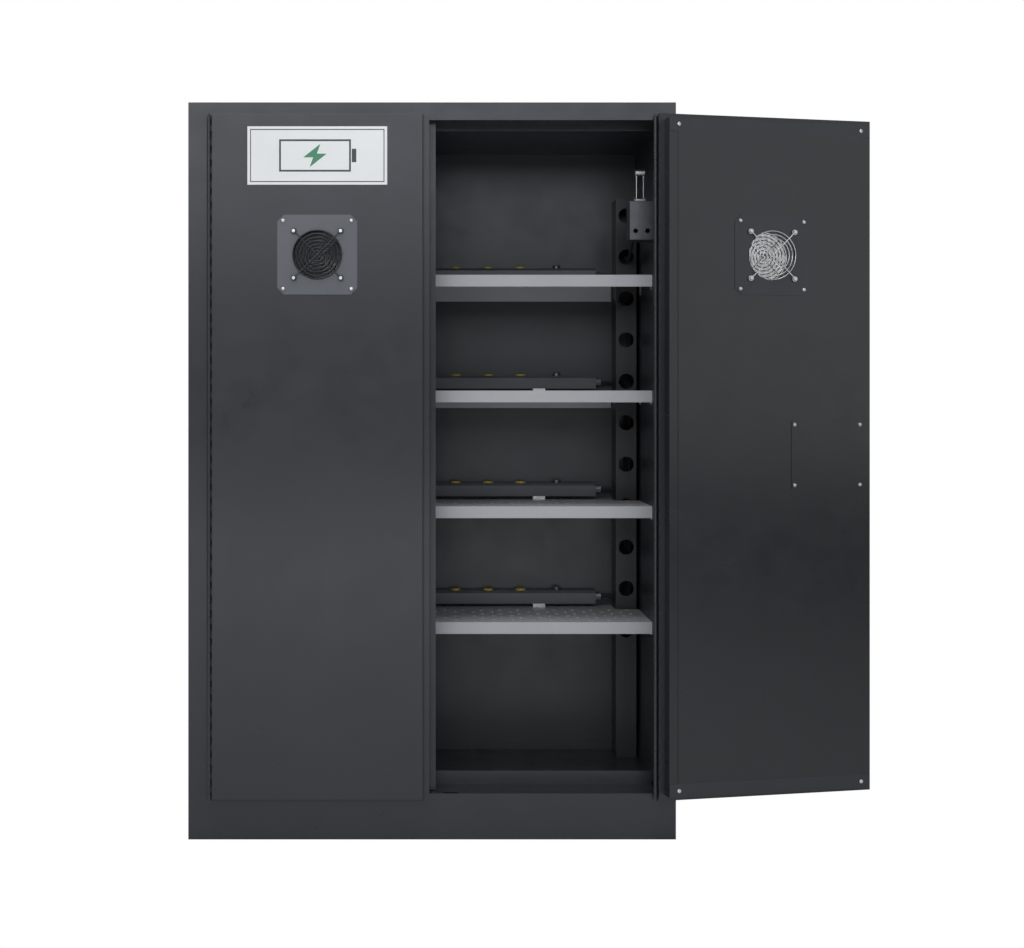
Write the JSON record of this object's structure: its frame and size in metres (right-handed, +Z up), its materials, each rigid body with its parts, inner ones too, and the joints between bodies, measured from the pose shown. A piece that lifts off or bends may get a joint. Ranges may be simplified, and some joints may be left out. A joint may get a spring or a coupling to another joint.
{
  "type": "battery charging cabinet",
  "caption": "Two-door steel safety cabinet for charging batteries, with perforated shelves, rear power strips, a wire raceway, vented doors and a rod latch.",
  "frame": {"origin": "middle of the base at floor level", "axes": "+Z up, -Y towards the doors, +X to the right as seen from the front"},
  "size_m": [1.5493, 0.5079, 1.651],
  "materials": {
    "cabinet_paint": "fine satin powder coat",
    "inner_paint": "satin powder coat",
    "shelf_paint": "satin powder coat",
    "hinge_paint": "powder coat over a rolled hinge",
    "strip_paint": "satin paint",
    "outlet_plastic": "moulded socket faces",
    "button_plastic": "moulded reset button",
    "cable_rubber": "smooth cable jacket",
    "zinc": "bright zinc plate",
    "galvanised": "galvanised sheet",
    "handle_finish": "satin chrome"
  },
  "bodies": {
    "cabinet": {"base_panel": "cabinet_paint", "side_panel_left": "cabinet_paint", "side_panel_right": "cabinet_paint", "top_panel": "cabinet_paint", "back_panel": "cabinet_paint", "door_header": "cabinet_paint", "door_sill": "cabinet_paint", "liner_left": "inner_paint", "liner_right": "inner_paint", "liner_back": "inner_paint", "ceiling_panel": "inner_paint", "sump_tray": "inner_paint", "shelf_clips": "zinc", "raceway": "inner_paint", "strip_outlets": "outlet_plastic", "strip_fittings": "zinc", "strip_leads": "cable_rubber", "interlock_box": "galvanised", "interlock_cover": "galvanised", "interlock_cable": "cable_rubber", "hinge_frame_leaf_left": "hinge_paint", "hinge_frame_leaf_right": "hinge_paint", "shelf_1": "shelf_paint", "power_strip_1": "strip_paint", "shelf_2": "shelf_paint", "power_strip_2": "strip_paint", "shelf_3": "shelf_paint", "power_strip_3": "strip_paint", "shelf_4": "shelf_paint", "power_strip_4": "strip_paint"},
    "left_door": {"hinge_door_leaf_left": "hinge_paint", "left_door_pan": "cabinet_paint", "left_door_box": "cabinet_paint", "left_door_inner_panel": "cabinet_paint", "left_door_channels": "cabinet_paint", "left_vent_plates": "cabinet_paint", "left_vent_guards": "zinc", "left_door_fasteners": "zinc", "left_door_astragal": "cabinet_paint"},
    "right_door": {"hinge_door_leaf_right": "hinge_paint", "right_door_pan": "cabinet_paint", "right_door_box": "cabinet_paint", "right_door_inner_panel": "cabinet_paint", "right_door_channels": "cabinet_paint", "right_vent_plates": "cabinet_paint", "right_vent_guards": "zinc", "right_door_fasteners": "zinc", "handle_dish": "cabinet_paint", "latch_guides": "zinc", "latch_cover": "cabinet_paint"},
    "latch_handle": {"latch_handle": "handle_finish"},
    "lock_cylinder": {"lock_cylinder": "handle_finish"},
    "latch_rod_top": {"latch_rod_top": "zinc"},
    "latch_rod_bottom": {"latch_rod_bottom": "zinc"},
    "latch_bolt": {"latch_bolt": "zinc"},
    "interlock_lever": {"interlock_lever": "zinc"},
    "breaker_button_1": {"breaker_button_1": "button_plastic"},
    "breaker_button_2": {"breaker_button_2": "button_plastic"},
    "breaker_button_3": {"breaker_button_3": "button_plastic"},
    "breaker_button_4": {"breaker_button_4": "button_plastic"}
  },
  "joints": [
    {"name": "left_door_hinge", "type": "hinge", "parent": "cabinet", "child": "left_door", "pos_m": [-0.498, -0.2425, 0.857], "axis": [0, 0, 1], "range_deg": [-192, 0]},
    {"name": "right_door_hinge", "type": "hinge", "parent": "cabinet", "child": "right_door", "pos_m": [0.498, -0.2425, 0.857], "axis": [0, 0, 1], "range_deg": [-192, 1]},
    {"name": "latch_handle_turn", "type": "hinge", "parent": "right_door", "child": "latch_handle", "pos_m": [0.93912, -0.16305, 0.861], "axis": [-0.2079, 0.9781, 0], "range_deg": [0, 90]},
    {"name": "lock_cylinder_turn", "type": "hinge", "parent": "latch_handle", "child": "lock_cylinder", "pos_m": [0.93569, -0.14691, 0.861], "axis": [-0.2079, 0.9781, 0], "range_deg": [0, 90]},
    {"name": "latch_rod_top_slide", "type": "slide", "parent": "right_door", "child": "latch_rod_top", "axis": [0, 0, 1], "range_m": [0, 0.01414]},
    {"name": "latch_rod_bottom_slide", "type": "slide", "parent": "right_door", "child": "latch_rod_bottom", "axis": [0, 0, -1], "range_m": [0, 0.01415]},
    {"name": "latch_bolt_slide", "type": "slide", "parent": "right_door", "child": "latch_bolt", "axis": [0.9781, 0.2079, 0], "range_m": [0, 0.01415]},
    {"name": "interlock_lever_tilt", "type": "hinge", "parent": "cabinet", "child": "interlock_lever", "pos_m": [0.481, -0.1085, 1.447], "axis": [1, 0, 0], "range_deg": [-15, 5], "stiffness_Nm_per_rad": 0.3},
    {"name": "breaker_button_1_press", "type": "slide", "parent": "cabinet", "child": "breaker_button_1", "axis": [0, 0, -1], "range_m": [0, 0.003], "stiffness_N_per_m": 600},
    {"name": "breaker_button_2_press", "type": "slide", "parent": "cabinet", "child": "breaker_button_2", "axis": [0, 0, -1], "range_m": [0, 0.003], "stiffness_N_per_m": 600},
    {"name": "breaker_button_3_press", "type": "slide", "parent": "cabinet", "child": "breaker_button_3", "axis": [0, 0, -1], "range_m": [0, 0.003], "stiffness_N_per_m": 600},
    {"name": "breaker_button_4_press", "type": "slide", "parent": "cabinet", "child": "breaker_button_4", "axis": [0, 0, -1], "range_m": [0, 0.003], "stiffness_N_per_m": 600}
  ],
  "couplings": [
    {"joint": "latch_handle_turn", "follows": "latch_rod_top_slide", "rad_per_m": 111.07},
    {"joint": "latch_rod_bottom_slide", "follows": "latch_rod_top_slide", "ratio": 1},
    {"joint": "latch_bolt_slide", "follows": "latch_rod_top_slide", "ratio": 1}
  ]
}
